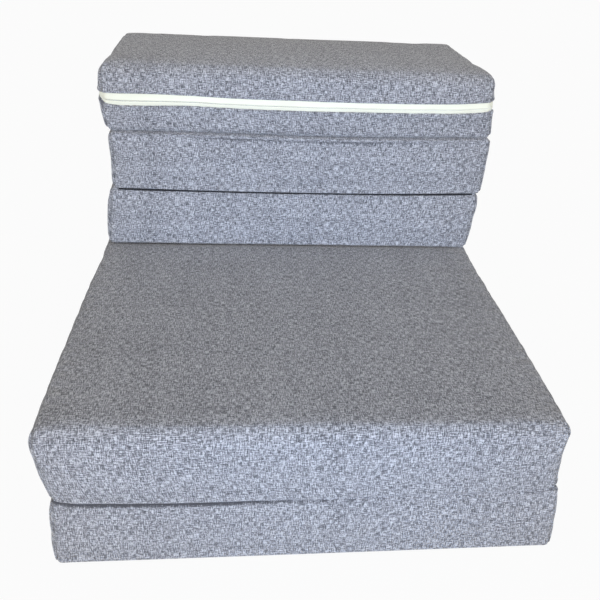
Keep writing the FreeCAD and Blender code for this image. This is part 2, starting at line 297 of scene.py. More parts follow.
# Heights of the folded edges of cloth below and above the zip, along the zip's way round the block:
# on the front that is the distance from the chair's middle, and it goes on round both corners
zip_lower_edge = smooth_line([
    (-0.360, 0.4475), (-0.322, 0.4475), (-0.309, 0.4462), (-0.296, 0.4420), (-0.280, 0.4398),
    (-0.240, 0.4393), (-0.186, 0.4405), (-0.085, 0.4378), (0.010, 0.4362), (0.105, 0.4369),
    (0.200, 0.4380), (0.268, 0.4395), (0.300, 0.4415), (0.325, 0.4440), (0.345, 0.4443),
    (0.500, 0.4443),
])
zip_upper_edge = smooth_line([
    (-0.360, 0.4578), (-0.300, 0.4579), (-0.260, 0.4586), (-0.212, 0.4588), (-0.147, 0.4568),
    (-0.085, 0.4545), (0.010, 0.4532), (0.104, 0.4527), (0.200, 0.4542), (0.266, 0.4558),
    (0.307, 0.4584), (0.335, 0.4600), (0.500, 0.4600),
])

# Heights of the slot's two edges on the plain block, and where the front turns into the ends
zip_row_low, zip_row_high, zip_corner = 0.4403, 0.4560, 0.152


def zip_way(x, y):
    """Distance along the zip from the middle of the front, round a corner and down an end."""
    return x + np.sign(x) * np.clip(y - zip_corner, 0, 1)


def side_counts(slab):
    """Straight stretches along the depth and the height of a slab, in cells."""
    deep = round((slab.rear - slab.front - 0.03) / face_step)
    if slab is back_upper:
        return deep, [
            0.12, 0.24, 0.33, 0.385, 0.410, 0.427, 0.444, 0.475, 0.535, 0.600, 0.623, 0.640, 0.657,
            0.685, 0.74, 0.83, 0.92,
        ]
    return deep, [i / 10 for i in range(1, 10)]


def profile(slab, inset):
    """The slab's section in depth and height, anticlockwise from the middle of the rounding at the
    front of the floor side, drawn in by an inset."""
    y0, y1, z0, z1 = slab.front + inset, slab.rear - inset, slab.low + inset, slab.high - inset
    deep, heights = side_counts(slab)
    radii = [max(radius - inset, 0.0008) for radius in slab.radii]
    centres = [
        (y0 + radii[0], z0 + radii[0]), (y1 - radii[1], z0 + radii[1]),
        (y1 - radii[2], z1 - radii[2]), (y0 + radii[3], z1 - radii[3]),
    ]
    shares = [
        [i / deep for i in range(1, deep)], heights,
        [i / deep for i in range(1, deep)], [1 - share for share in reversed(heights)],
    ]

    def rounding(k, start):
        """Half the rounding of one long edge, from an angle in degrees on."""
        turns = [
            math.radians(start) + i / corner_steps * quarter_turn / 2
            for i in range(corner_steps + 1)
        ]
        y, z = centres[k]
        return [(y + radii[k] * math.cos(a), z + radii[k] * math.sin(a)) for a in turns]

    found = []
    for k in range(4):
        following = (k + 1) % 4
        found += rounding(k, 225 + 90 * k)
        ahead = rounding(following, 180 + 90 * following)
        (y0, z0), (y1, z1) = found[-1], ahead[0]
        found += [(y0 + share * (y1 - y0), z0 + share * (z1 - z0)) for share in shares[k]]
        found += ahead[:-1]
    return np.array(found)


def placed(name, data):
    """An object at the origin, in the scene."""
    piece = bpy.data.objects.new(name, data)
    bpy.context.scene.collection.objects.link(piece)
    return piece


def cloth_mesh(name, points, faces, cloth):
    """A mesh with the cloth's own coordinates, in metres, at every corner of its faces."""
    mesh = bpy.data.meshes.new(name)
    mesh.from_pydata(points, [], faces)
    layer = mesh.uv_layers.new(name="cloth")
    layer.data.foreach_set("uv", np.array(cloth, np.float32).ravel())
    return mesh


# The seam attribute marks the sewn seams and also carries the painted shade of the creases.
def read_seam_and_shade(mesh):
    shade = np.zeros(len(mesh.vertices), np.float32)
    mesh.attributes["seam"].data.foreach_get("value", shade)
    return shade


def write_seam_and_shade(mesh, shade):
    if "seam" not in mesh.attributes:
        mesh.attributes.new("seam", "FLOAT", "POINT")
    mesh.attributes["seam"].data.foreach_set("value", np.array(shade, np.float32))


end_steps, seam_row = 7, 4


def sewn_box(slab):
    """The closed mesh of a slab: a wrap from end to end and a panel at each end."""
    turns = [i / end_steps * quarter_turn for i in range(end_steps + 1)]
    bends = [(end_radius * math.sin(a), end_radius * (1 - math.cos(a))) for a in turns]
    flat = half_width - end_radius
    cells = round(2 * flat / face_step)
    rows = [(-flat - out, inset) for out, inset in reversed(bends)]
    rows += [(-flat + 2 * flat * i / cells, 0.0) for i in range(1, cells)]
    rows += [(flat + out, inset) for out, inset in bends]
    deep, heights = side_counts(slab)
    wide, tall = deep + 2 * corner_steps, len(heights) + 1 + 2 * corner_steps
    loops = [profile(slab, inset) for x, inset in rows]
    count = len(loops[0])
    points, faces, cloth, rims = [], [], [], []
    middle = loops[len(rows) // 2]
    steps = np.linalg.norm(np.roll(middle, -1, 0) - middle, axis=1)
    girth = np.concatenate([[0], np.cumsum(steps)])
    for i, (x, inset) in enumerate(rows):
        points += [(x, y, z) for y, z in loops[i]]
        rims += [1.0 if i in (seam_row, len(rows) - 1 - seam_row) else 0.0] * count
    for i in range(len(rows) - 1):
        for j in range(count):
            n = (j + 1) % count
            faces.append((i * count + j, i * count + n, (i + 1) * count + n, (i + 1) * count + j))
            u0, u1 = rows[i][0], rows[i + 1][0]
            cloth.append(((u0, girth[j]), (u0, girth[j + 1]), (u1, girth[j + 1]), (u1, girth[j])))
    for row in (0, len(rows) - 1):
        grid = np.zeros((wide + 1, tall + 1), int)
        base = row * count
        for a in range(wide + 1):
            grid[a, 0] = base + a
            grid[a, tall] = base + 2 * wide + tall - a
        for b in range(tall + 1):
            grid[wide, b] = base + wide + b
            grid[0, b] = base + (2 * (wide + tall) - b) % count
        x = rows[row][0]
        for a in range(1, wide):
            for b in range(1, tall):
                s, t = a / wide, b / tall
                low, high = np.array(points[grid[a, 0]]), np.array(points[grid[a, tall]])
                front, rear = np.array(points[grid[0, b]]), np.array(points[grid[wide, b]])
                share = (front[2] + rear[2]) / 2
                z = low[2] + (high[2] - low[2]) * (share - slab.low) / (slab.high - slab.low)
                points.append((x, low[1] * (1 - t) + high[1] * t, share * 0.7 + z * 0.3))
                grid[a, b] = len(points) - 1
                rims.append(0.0)
        for a in range(wide):
            for b in range(tall):
                ring = [grid[a, b], grid[a + 1, b], grid[a + 1, b + 1], grid[a, b + 1]]
                if row == 0:
                    ring = ring[::-1]
                faces.append(tuple(int(v) for v in ring))
                cloth.append(tuple((points[v][1] + 3.0, points[v][2]) for v in ring))
    mesh = cloth_mesh(slab.body + "_cushion", points, faces, cloth)
    write_seam_and_shade(mesh, rims)
    return mesh


def read_points(mesh):
    flat = np.zeros(len(mesh.vertices) * 3)
    mesh.vertices.foreach_get("co", flat)
    return flat.reshape(-1, 3)


def write_points(mesh, points):
    mesh.vertices.foreach_set("co", points.astype(np.float32).ravel())
    mesh.update()


end_puff, stack_dent = 0.0025, 0.0030


def lean(slab, points):
    """Gives the plain slab the soft shape that it has in the stack."""
    x, y, z = points.T
    s = np.clip(x / half_width, -1, 1)
    t = np.clip((y - slab.front) / (slab.rear - slab.front) * 2 - 1, -1, 1)
    w = np.clip((z - slab.low) / block_height * 2 - 1, -1, 1)
    below, behind, above, before = slab.crowns
    bulge = 1 - np.abs(s) ** 3
    y = y + (behind * (t + 1) / 2 - before * (1 - t) / 2) * (1 - w ** 2) * bulge
    z = z + (above * (w + 1) / 2 - below * (1 - w) / 2) * (1 - t ** 2) * bulge
    back = np.clip(y - slab.front, 0, 1)
    hold = ramp(z, 0.432, 0.503) if slab is back_upper else 1.0
    left = slab.left(z) + slab.left_in(back) * hold
    right = slab.right(z) - slab.right_in(back) * hold
    puff = end_puff * (1 - w ** 2) * np.sqrt(np.clip(1 - t ** 2, 0, 1)) * np.abs(s) ** 8
    share = (x + half_width) / (2 * half_width)
    x = left + (right - left) * share + np.sign(s) * puff
    fade = 1 - 0.6 * (t + 1) / 2
    rise_low = layers[slab.layer](x) - slab.low
    rise_high = layers[slab.layer + 1](x) - slab.high
    rise = (rise_low * (1 - w) / 2 + rise_high * (1 + w) / 2) * fade
    if slab is back_upper:
        way = zip_way(x, y)
        lower, upper = zip_lower_edge(way) - zip_row_low, zip_upper_edge(way) - zip_row_high
        near = (1 - ramp(y, 0.30, 0.34)) * (z < 0.5) * (z > 0.4)
        places = [0.4, 0.41, zip_row_low, zip_row_high, 0.488, 0.5]
        rises = [0 * x, 0 * x, lower, upper, 0 * x, 0 * x]
        follow = 0 * x
        for k in range(5):
            share_up = (z - places[k]) / (places[k + 1] - places[k])
            band = (z >= places[k]) & (z < places[k + 1])
            follow = np.where(band, rises[k] * (1 - share_up) + rises[k + 1] * share_up, follow)
        z = z + follow * near + rise * (1 - near * (1 - np.abs(w) ** 6))
    else:
        z = z + rise
    if slab is seat_top:
        pressed = bell(y, 0.162, 0.012) * ramp(w, 0.6, 1.0)
        z = z - stack_dent * pressed * (1 - ramp(np.abs(x), 0.28, 0.31))
    return np.stack([x, y, z], 1)


free_swell, held_swell, swell_steps = 0.0045, 0.0006, 20


def resting(slab, points):
    """Where a slab's faces lie on a neighbour or the floor, and can't swell."""
    y, z = points[:, 1], points[:, 2]
    w = (z - slab.low) / block_height
    held = w < 0.12
    if slab.body in ("seat_base", "back_lower", "back_middle"):
        held |= w > 0.93
    if slab.body == "seat_top":
        held |= (w > 0.93) & (y > stack_front - 0.012)
    return held


def settle(piece, slab, plain):
    """Lets the cover swell on its foam as cloth, a few millimetres at most."""
    mesh = piece.data
    start = read_points(mesh)
    pins = piece.vertex_groups.new(name="sewn")
    for v in np.nonzero(read_seam_and_shade(mesh) > 0.5)[0]:
        pins.add([int(v)], 1.0, "REPLACE")
    cloth = piece.modifiers.new("settling", "CLOTH")
    for name, value in {
        "quality": 5, "mass": 0.2, "tension_stiffness": 12, "compression_stiffness": 12,
        "shear_stiffness": 5, "bending_stiffness": 0.4, "use_pressure": True,
        "uniform_pressure_force": 3.5, "shrink_min": -0.012, "vertex_group_mass": "sewn",
    }.items():
        setattr(cloth.settings, name, value)
    cloth.settings.effector_weights.gravity = 0
    cloth.collision_settings.use_collision = False
    for step in range(1, swell_steps + 1):
        bpy.context.scene.frame_set(step)
    swollen = piece.evaluated_get(bpy.context.evaluated_depsgraph_get())
    move = read_points(swollen.to_mesh()) - start
    swollen.to_mesh_clear()
    piece.modifiers.remove(cloth)
    piece.vertex_groups.clear()
    bpy.context.scene.frame_set(1)
    size = np.linalg.norm(move, axis=1)
    cap = np.where(resting(slab, plain), held_swell, free_swell)
    write_points(mesh, start + move * (cap / (cap + size))[:, None])


def plain_copy(piece, name):
    """The mesh of a piece with its modifiers worked in, as a new piece."""
    solved = bpy.context.evaluated_depsgraph_get()
    mesh = bpy.data.meshes.new_from_object(
        piece.evaluated_get(solved), preserve_all_data_layers=True, depsgraph=solved
    )
    mesh.name = name
    old = piece.data
    bpy.data.objects.remove(piece)
    bpy.data.meshes.remove(old)
    return placed(name, mesh)


def surface_of(piece):
    mesh = piece.data
    return BVHTree.FromPolygons(
        [v.co for v in mesh.vertices], [p.vertices[:] for p in mesh.polygons]
    )


def point_normals(mesh):
    flat = np.zeros(len(mesh.vertices) * 3)
    mesh.vertex_normals.foreach_get("vector", flat)
    return flat.reshape(-1, 3)


def cast(tree, place, way):
    return tree.ray_cast(Vector(place), Vector(way))[0]


# How far back the zip runs on both ends, its height there, the slot's depth and the swell of its
# edges, and the slider's straight line: a depth, the cloth's side there and its slope forward
zip_rear, zip_height = 0.280, 0.4495
slot_depth, slot_swell = 0.0040, 0.0008
slider_line = (0.267, 0.3240, 0.01832)


def draw_in_for_slider(piece):
    """The zip holds the right end of the block straight, where its slider runs."""
    tree = surface_of(piece)
    there, side, slope = slider_line
    steps = np.arange(0.160, 0.300, 0.01)
    gaps = [
        side + slope * (there - y) - cast(tree, (0.40, y, zip_height), (-1, 0, 0)).x for y in steps
    ]
    x, y, z = read_points(piece.data).T
    gap = np.interp(y, steps, gaps) * ramp(x, 0.24, 0.31) * ramp(y, 0.146, 0.160)
    gap = gap * (1 - ramp(y, 0.30, 0.36)) * bell(z, zip_height, 0.028)
    write_points(piece.data, np.stack([x + gap, y, z], 1))


def open_for_zip(piece):
    """Folds the cloth in along a slot that runs across the front and both ends."""
    mesh = piece.data
    points, normals = read_points(mesh), point_normals(mesh)
    x, y, z = points.T
    way = zip_way(x, y)
    top, bottom = zip_upper_edge(way), zip_lower_edge(way)
    run = (1 - ramp(y, zip_rear - 0.005, zip_rear + 0.005)) * (np.abs(normals[:, 2]) < 0.5)
    inside = ramp(z, bottom - 0.0008, bottom + 0.0012) * (1 - ramp(z, top - 0.0012, top + 0.0008))
    edges = bell(z, top + 0.003, 0.003) + bell(z, bottom - 0.003, 0.003)
    depth = (slot_depth * inside - slot_swell * edges) * run
    write_points(mesh, points - normals * depth[:, None])


way_of_zip = []


def lay_out_zip(piece):
    """The zip's way from the right end round to the left: for each station on it the direction
    outwards, and the places of the cloth's surface at five heights, the middle one the teeth's."""
    tree = surface_of(piece)
    side, front = half_width - end_radius, stack_front + end_radius
    turns = [(math.cos(a), math.sin(a)) for a in (i / 8 * quarter_turn for i in range(9))]
    plan = [(half_width, y, 1.0, 0.0) for y in np.arange(zip_rear - 0.001, front, -0.004)]
    plan += [(side + end_radius * c, front - end_radius * s, c, -s) for c, s in turns]
    plan += [(x, stack_front, 0.0, -1.0) for x in np.arange(side - 0.005, -side, -0.005)]
    plan += [(-side - end_radius * s, front - end_radius * c, -s, -c) for c, s in turns]
    plan += [(-half_width, y, -1.0, 0.0) for y in np.arange(front + 0.004, zip_rear, 0.004)]
    plan = np.array(plan)
    level = np.full(len(plan), back_upper.low + block_height / 2)
    leaned = lean(back_upper, np.stack([plan[:, 0], plan[:, 1], level], 1))
    stations = []
    for (x, y, _), (_, _, out_x, out_y) in zip(leaned, plan):
        way = float(zip_way(x, y))
        low, high = float(zip_lower_edge(way)), float(zip_upper_edge(way))
        meet = low + 0.38 * (high - low)
        stations.append((Vector((out_x, out_y, 0)), [
            cast(tree, (x + 0.03 * out_x, y + 0.03 * out_y, height), (-out_x, -out_y, 0))
            for height in (low - 0.004, low, meet, high, high + 0.004)
        ]))
    smoothed = [stations[0]]
    for before, (out, places), after in zip(stations, stations[1:], stations[2:]):
        smoothed.append((out, [
            (place * 2 + before[1][k] + after[1][k]) / 4 for k, place in enumerate(places)
        ]))
    return smoothed + [stations[-1]]


seam_depth, lip_groove = 0.0012, 0.0014


def upholster(slab):
    """One covered block, from its plain box to the finished cushion."""
    mesh = sewn_box(slab)
    piece = placed(slab.body + "_raw", mesh)
    plain = read_points(mesh)
    write_points(mesh, lean(slab, plain))
    settle(piece, slab, plain)
    finer = piece.modifiers.new("finer", "SUBSURF")
    finer.levels = finer.render_levels = 1
    piece = plain_copy(piece, slab.body + "_cushion")
    mesh = piece.data
    seam_and_shade, points, normals = read_seam_and_shade(mesh), read_points(mesh), point_normals(mesh)
    write_points(mesh, points - normals * (seam_depth * seam_and_shade)[:, None])
    x, y, z = points.T
    left_half = 1 - ramp(x, -0.14, 0.02)
    # Painted shade: the groove under the upper block's seam lip is pushed in and also darkened in
    # the cloth's colour.
    if slab is back_middle:
        under = bell(z, layers[4](x) - 0.0066, 0.0009) * ramp(x, -0.20, -0.10)
        under = under * (y < 0.156) * (1 - 0.8 * ramp(x, 0.12, 0.24)) * (1 - ramp(x, 0.29, 0.31))
        write_points(mesh, read_points(mesh) - normals * (lip_groove * under)[:, None])
        seam_and_shade = seam_and_shade + 2.2 * under
    # Painted shadow: a band along the seat base's top front edge, under the front crease, is
    # darkened, most on the left.
    if slab is seat_base:
        edge = ramp(z - layers[1](x), -0.0065, -0.0010) * (y < -0.3) * (z > 0.05)
        seam_and_shade = seam_and_shade + 3.4 * edge * left_half + 0.8 * edge
    # Painted shade: a band along the seat top's lower front edge, at the front crease, is darkened,
    # most on the left.
    if slab is seat_top:
        edge = (1 - ramp(z - layers[1](x), 0.0003, 0.0022)) * (y < -0.3) * (z < 0.15)
        seam_and_shade = seam_and_shade + 2.6 * edge * left_half + 0.6 * edge
    write_seam_and_shade(mesh, seam_and_shade)
    if slab is back_upper:
        draw_in_for_slider(piece)
        way_of_zip.extend(lay_out_zip(piece))
        open_for_zip(piece)
    mesh.shade_smooth()
    mesh.materials.clear()
    mesh.materials.append(cover_cloth)
    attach(piece, slab.body)
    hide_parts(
        slab.body + "_foam", slab.body + "_cover", slab.body + "_side_left",
        slab.body + "_side_right",
    )
    return piece


cushions = {
    slab.body: upholster(slab)
    for slab in (seat_base, seat_top, back_lower, back_middle, back_upper)
}


# Hinge webs. Where two blocks are sewn to each other, a strip of the cover's cloth runs down from
# one face over the crease to the next, drawn a little darker than the cover as painted shade in
# the crease. The middle one is in a near-black cloth, which makes the dark line along that crease.

# Painted shade: the cloth of the webs and the seam lip is the cover's, a little darker, for the
# creases they sit in.
crease_shaded_cloth = linen("crease_shaded_cloth", (0.067, 0.067, 0.075), (0.222, 0.221, 0.236), (0.51, 0.51, 0.53))
dark_cloth = linen(
    "dark_web_cloth", (0.012, 0.012, 0.014), (0.030, 0.030, 0.034), (0.075, 0.075, 0.080)
)
surfaces = {name: surface_of(cushion) for name, cushion in cushions.items()}


def strip_mesh(name, rows, cloth_rows):
    """A piece from equal rows of points round a closed section, with both of its ends capped."""
    count = len(rows[0])
    points = [tuple(p) for row in rows for p in row]
    faces, cloth = [], []
    for i in range(len(rows) - 1):
        for j in range(count):
            n = (j + 1) % count
            faces.append((i * count + j, i * count + n, (i + 1) * count + n, (i + 1) * count + j))
            (u0, v0), u1 = cloth_rows[i][j], cloth_rows[i + 1][j][0]
            v1 = cloth_rows[i][n][1] if n else v0 + 0.001
            cloth += [(u0, v0), (u0, v1), (u1, v1), (u1, v0)]
    for ring in (list(range(count))[::-1], [(len(rows) - 1) * count + j for j in range(count)]):
        faces.append(tuple(ring))
        cloth += [(points[v][1], points[v][2]) for v in ring]
    mesh = cloth_mesh(name, points, faces, cloth)
    form = bmesh.new()
    form.from_mesh(mesh)
    bmesh.ops.recalc_face_normals(form, faces=form.faces)
    form.to_mesh(mesh)
    form.free()
    mesh.shade_smooth()
    return placed(name, mesh)


def evened(levels):
    """The same levels with their small steps smoothed away and both ends kept."""
    levels = np.array(levels)
    for _ in range(3):
        levels[1:-1] = (levels[:-2] + 2 * levels[1:-1] + levels[2:]) / 4
    return levels


web_thickness, web_rise = 0.0010, 0.0016


def hinge_web(side, lower, upper, place, ends, reach, depths, line, cloth):
    """A web across the crease between two blocks, as deep in it as the depths say."""
    axis_y, axis_z = place
    depth = smooth_line(depths)
    out = -1 if lower in ("seat_base", "back_lower") else 1
    xs = np.linspace(ends[0], ends[1], 70)
    shares = np.linspace(-1, 1, 17)
    levels = []
    for x in xs:
        crease = float(line(x)) if out < 0 else axis_z
        levels.append([crease] + [
            cast(surfaces[body], (x, axis_y + 0.05 * out, crease + h), (0, -out, 0)).y
            for body, h in ((lower, -reach), (upper, reach))
        ])
    rows, cloth_rows = [], []
    for x, (crease, face_low, face_high) in zip(xs, evened(levels)):
        outer, inner = [], []
        for share in shares:
            bent = math.copysign(abs(share) ** 1.3, share)
            level = face_low + (face_high - face_low) * (bent + 1) / 2
            valley = float(depth(x)) * (1 - abs(bent)) ** 1.4
            valley += web_rise * float(ramp(abs(bent), 0.45, 1.0))
            outer.append((x, level - out * valley, crease + bent * reach))
            inner.append(
                (x, level - out * (valley + web_thickness), crease + bent * reach * 0.97)
            )
        rows.append(outer + inner[::-1])
        lengths = [share * reach for share in shares]
        cloth_rows.append([(x, v) for v in lengths + lengths[::-1]])
    web = strip_mesh(side + "_hinge_web", rows, cloth_rows)
    # Painted shade: the web's cloth is darker along the bottom of its valley, the more so where the
    # crease is deep.
    write_seam_and_shade(web.data, [
        float(ramp(depth(x), 0.0030, 0.0060)) * (1 - abs(share)) ** 0.4 * 4.5
        for x in xs for share in list(shares) + list(shares)[::-1]
    ])
    web.data.materials.append(cloth)
    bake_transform(web)
    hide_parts(side + "_fold_strip")


hinge_web(
    "front", "seat_base", "seat_top", (-0.3733, 0.100), (-0.3115, 0.3115), 0.0085,
    [(-0.32, 0.0066), (-0.20, 0.0062), (-0.12, 0.0052), (-0.04, 0.0036), (0.05, 0.0028),
     (0.30, 0.0026), (0.32, 0.0036)],
    layers[1], crease_shaded_cloth,
)
hinge_web(
    "middle", "back_lower", "back_middle", (0.1467, 0.300), (-0.2790, 0.3090), 0.0070,
    [(-0.30, 0.0060), (0.0, 0.0056), (0.33, 0.0060)], layers[3], dark_cloth,
)
rear_depths = [(-0.30, 0.0060), (0.0, 0.0042), (0.33, 0.0060)]
hinge_web(
    "rear_lower", "seat_top", "back_lower", (0.3733, 0.200), (-0.2750, 0.2950), 0.0130,
    rear_depths, layers[2], crease_shaded_cloth,
)
hinge_web(
    "rear_upper", "back_middle", "back_upper", (0.3733, 0.400), (-0.2750, 0.3050), 0.0130,
    rear_depths, layers[4], crease_shaded_cloth,
)


# Seam lip under the uppermost block. The bottom seam of its cover is turned down over the crease
# and shows there as a narrow lip of the same cloth, a little darker as painted shade, wider over
# the middle and the right.

lip_width = smooth_line([
    (-0.30, 0.0012), (-0.20, 0.0020), (-0.10, 0.0044), (0.0, 0.0052), (0.25, 0.0050),
    (0.33, 0.0030),
])
lip_radius, lip_overlap, lip_drop, lip_sides = 0.0015, 0.0008, 0.0012, 12
xs = np.linspace(-0.278, 0.312, 66)
lip_levels = []
for x in xs:
    crease = float(layers[4](x))
    lip_levels.append((crease, min(
        cast(surfaces[body], (x, 0.10, crease + h), (0, 1, 0)).y
        for body, h in (("back_upper", 0.007), ("back_middle", -0.007))
    )))
rows, cloth_rows = [], []
for x, (crease, level) in zip(xs, evened(lip_levels)):
    half = float(lip_width(x)) / 2
    turns = [i / lip_sides * 2 * math.pi for i in range(lip_sides)]
    rows.append([(
        x, level - lip_overlap + lip_radius * (1 - math.cos(a)),
        crease - lip_drop - half + half * math.sin(a),
    ) for a in turns])
    cloth_rows.append([(x, i * half / 3) for i in range(lip_sides)])
seam_lip = strip_mesh("upper_block_seam_lip", rows, cloth_rows)
seam_lip.data.materials.append(crease_shaded_cloth)
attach(seam_lip, "back_upper")


# Zip. Two ivory tapes are sewn in behind the folded edges of the cover and meet below the middle of
# the slot, so that only a fine line of the moulded teeth shows between their edges.

tape_rib, tape_lean = 0.0009, 2400.0
tape_cloth, tape_tree, tape_shader = new_finish("zip_tape_cloth", 0.7, 0.1)
tape_place = knot(tape_tree, "ShaderNodeUVMap", {"uv_map": "cloth"}, [])
tape_along = knot(tape_tree, "ShaderNodeSeparateXYZ", {}, [tape_place], 0)
tape_across = tape_along.twin(1)
rib = tape_along.maths("SINE", tape_along * (2 * math.pi / tape_rib) + tape_across * tape_lean)
rib = rib * 0.5 + 0.5
soil_spot = knot(
    tape_tree, "ShaderNodeCombineXYZ", {}, [tape_along * 14.0, tape_across * 60.0, 0.0]
)
soil = knot(
    tape_tree, "ShaderNodeTexNoise", {"noise_dimensions": "3D"},
    {"Vector": soil_spot, "Scale": 1.0, "Detail": 3.0},
)
tape_colour = knot(
    tape_tree, "ShaderNodeValToRGB",
    {"stops": [(0.2, (0.68, 0.66, 0.52)), (0.6, (0.78, 0.765, 0.62)), (1.0, (0.84, 0.83, 0.70))]},
    [rib * 0.35 + soil * 0.65],
)
tape_bump = knot(
    tape_tree, "ShaderNodeBump", {}, {"Strength": 0.3, "Distance": 0.0002, "Height": rib}
)
tape_tree.links.new(tape_colour.socket, tape_shader.inputs["Base Color"])
tape_tree.links.new(tape_bump.socket, tape_shader.inputs["Normal"])

# A tape's section: how far out from the teeth, as a share of the way to the cloth's edge, and how
# deep behind the cloth's surface
tape_section = ((1.35, 0.0034), (1.0, 0.0026), (0.75, 0.0019), (0.45, 0.0013), (0.2, 0.0010))
tape_tip, tape_tip_depth, tape_thickness = 0.00042, 0.0012, 0.0007


def zip_tape(name, node, low_side):
    """One tape: under the cloth's edge, over the slot and in to the teeth, where its edge rolls."""
    rows, cloth_rows = [], []
    walked, last = 0.0, way_of_zip[0][1][2]
    sign = -1 if low_side else 1
    for out, places in way_of_zip:
        edge, beyond = (places[1], places[0]) if low_side else (places[3], places[4])
        meet = places[2]
        walked += (meet - last).length
        last = meet
        tip = tape_tip / max((edge - meet).length, 0.002)
        outline = []
        for share, depth in (*tape_section, (tip, tape_tip_depth)):
            if share > 1:
                at = edge + (beyond - edge) * min((share - 1) * 2, 0.9)
            else:
                at = meet + (edge - meet) * share
            outline.append((at - out * depth, share))
        back = [(p - out * tape_thickness, share) for p, share in outline[::-1]]
        back[0] = (outline[-1][0] - out * 0.0012 + (edge - meet).normalized() * 0.0001, tip)
        rows.append([p for p, share in outline + back])
        cloth_rows.append([(walked, sign * share * 0.01) for p, share in outline + back])
    tape = strip_mesh(name, rows, cloth_rows)
    tape.data.materials.append(tape_cloth)
    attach(tape, "back_upper")
    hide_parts(node)


zip_tape("zip_upper_tape_cloth", "zip_tape_upper", False)
zip_tape("zip_lower_tape_cloth", "zip_tape_lower", True)


# Zip teeth. They are moulded in ivory plastic on the tapes' edges and close into each other like
# the links of a chain: small bars, in two rows that are half a step apart.

def speckled(name, roughness, scale, detail, stops):
    """A finish whose colour varies in fine grains, and the grain itself for other uses."""
    finish, tree, shader = new_finish(name, roughness)
    place = knot(tree, "ShaderNodeTexCoord", {}, [], "Object")
    grain = knot(
        tree, "ShaderNodeTexNoise", {"noise_dimensions": "3D"},
        {"Vector": place, "Scale": scale, "Detail": detail},
    )
    colour = knot(tree, "ShaderNodeValToRGB", {"stops": stops}, [grain])
    tree.links.new(colour.socket, shader.inputs["Base Color"])
    return finish, shader, grain


tooth_plastic = speckled(
    "tooth_plastic", 0.38, 260.0, 2.0, [(0.3, (0.66, 0.66, 0.58)), (0.7, (0.80, 0.80, 0.72))]
)[0]


def node_tree(name, numbers):
    """An empty tree of geometry nodes with the named inputs for its sizes."""
    tree = bpy.data.node_groups.new(name, "GeometryNodeTree")
    tree.interface.new_socket("Geometry", in_out="INPUT", socket_type="NodeSocketGeometry")
    for label in numbers:
        tree.interface.new_socket(label, in_out="INPUT", socket_type="NodeSocketFloat")
    tree.interface.new_socket("Geometry", in_out="OUTPUT", socket_type="NodeSocketGeometry")
    return tree, tree.nodes.new("NodeGroupInput"), tree.nodes.new("NodeGroupOutput")


def repeated_bars(name, path, sizes, finish):
    """Small bars set along a path at an even step, each turned with it: a row of teeth or
    stitches. The sizes are the step, where the first one is, and a bar's length along the path,
    its width across it and its thickness."""
    mesh = bpy.data.meshes.new(name + "_path")
    mesh.from_pydata([tuple(p) for p in path], [(i, i + 1) for i in range(len(path) - 1)], [])
    row = placed(name + "_path", mesh)
    tree, given, result = node_tree(name + "_row", list(sizes))
    nodes, link = tree.nodes, tree.links.new
    line = nodes.new("GeometryNodeMeshToCurve")
    link(given.outputs["Geometry"], line.inputs[0])
    trim = nodes.new("GeometryNodeTrimCurve")
    trim.mode = "LENGTH"
    beyond_the_end = 10.0
    for socket in trim.inputs:
        if socket.name == "Start" and socket.enabled:
            link(given.outputs["First"], socket)
        if socket.name == "End" and socket.enabled:
            socket.default_value = beyond_the_end
    link(line.outputs[0], trim.inputs[0])
    upright = nodes.new("GeometryNodeSetCurveNormal")
    upright.mode = "Z_UP"
    link(trim.outputs[0], upright.inputs[0])
    spots = nodes.new("GeometryNodeCurveToPoints")
    spots.mode = "LENGTH"
    link(upright.outputs[0], spots.inputs["Curve"])
    link(given.outputs["Step"], spots.inputs["Length"])
    bar = nodes.new("GeometryNodeMeshCube")
    size = nodes.new("ShaderNodeCombineXYZ")
    link(given.outputs["Thickness"], size.inputs[0])
    link(given.outputs["Width"], size.inputs[1])
    link(given.outputs["Length"], size.inputs[2])
    link(size.outputs[0], bar.inputs["Size"])
    softer = nodes.new("GeometryNodeSubdivisionSurface")
    softer.inputs["Level"].default_value = 1
    for socket in softer.inputs:
        if socket.name == "Edge Crease":
            socket.default_value = 0.55
    link(bar.outputs["Mesh"], softer.inputs[0])
    place = nodes.new("GeometryNodeInstanceOnPoints")
    link(spots.outputs["Points"], place.inputs["Points"])
    link(softer.outputs[0], place.inputs["Instance"])
    link(spots.outputs["Rotation"], place.inputs["Rotation"])
    real = nodes.new("GeometryNodeRealizeInstances")
    link(place.outputs[0], real.inputs[0])
    coat = nodes.new("GeometryNodeSetMaterial")
    coat.inputs["Material"].default_value = finish
    link(real.outputs[0], coat.inputs["Geometry"])
    link(coat.outputs[0], result.inputs[0])
    maker = row.modifiers.new("row", "NODES")
    maker.node_group = tree
    for item in tree.interface.items_tree:
        if item.in_out == "INPUT" and item.name in sizes:
            maker[item.identifier] = float(sizes[item.name])
    return plain_copy(row, name)


def tooth_row(name, node, shift, first):
    path = [places[2] - out * 0.0018 + Vector((0, 0, shift)) for out, places in way_of_zip[1:-1]]
    row = repeated_bars(
        name, path,
        {"Step": 0.0016, "First": first, "Length": 0.0009, "Width": 0.0026, "Thickness": 0.0012},
        tooth_plastic,
    )
    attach(row, "back_upper")
    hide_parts(node)


tooth_row("zip_upper_tooth_row", "zip_teeth_upper", 0.0007, 0.0)
tooth_row("zip_lower_tooth_row", "zip_teeth_lower", -0.0007, 0.0008)


# End stops. At each end of the zip the two rows are held by a small clip of lacquered metal,
# pressed round both tape edges, just inside the slot's end.

zip_metal, metal_shader, wear = speckled(
    "zip_lacquered_metal", 0.35, 420.0, 4.0, [(0.3, (0.62, 0.61, 0.53)), (0.6, (0.78, 0.77, 0.69))]
)
wear.tree.links.new((wear * 0.25 + 0.25).socket, metal_shader.inputs["Roughness"])
metal_shader.inputs["Metallic"].default_value = 0.25

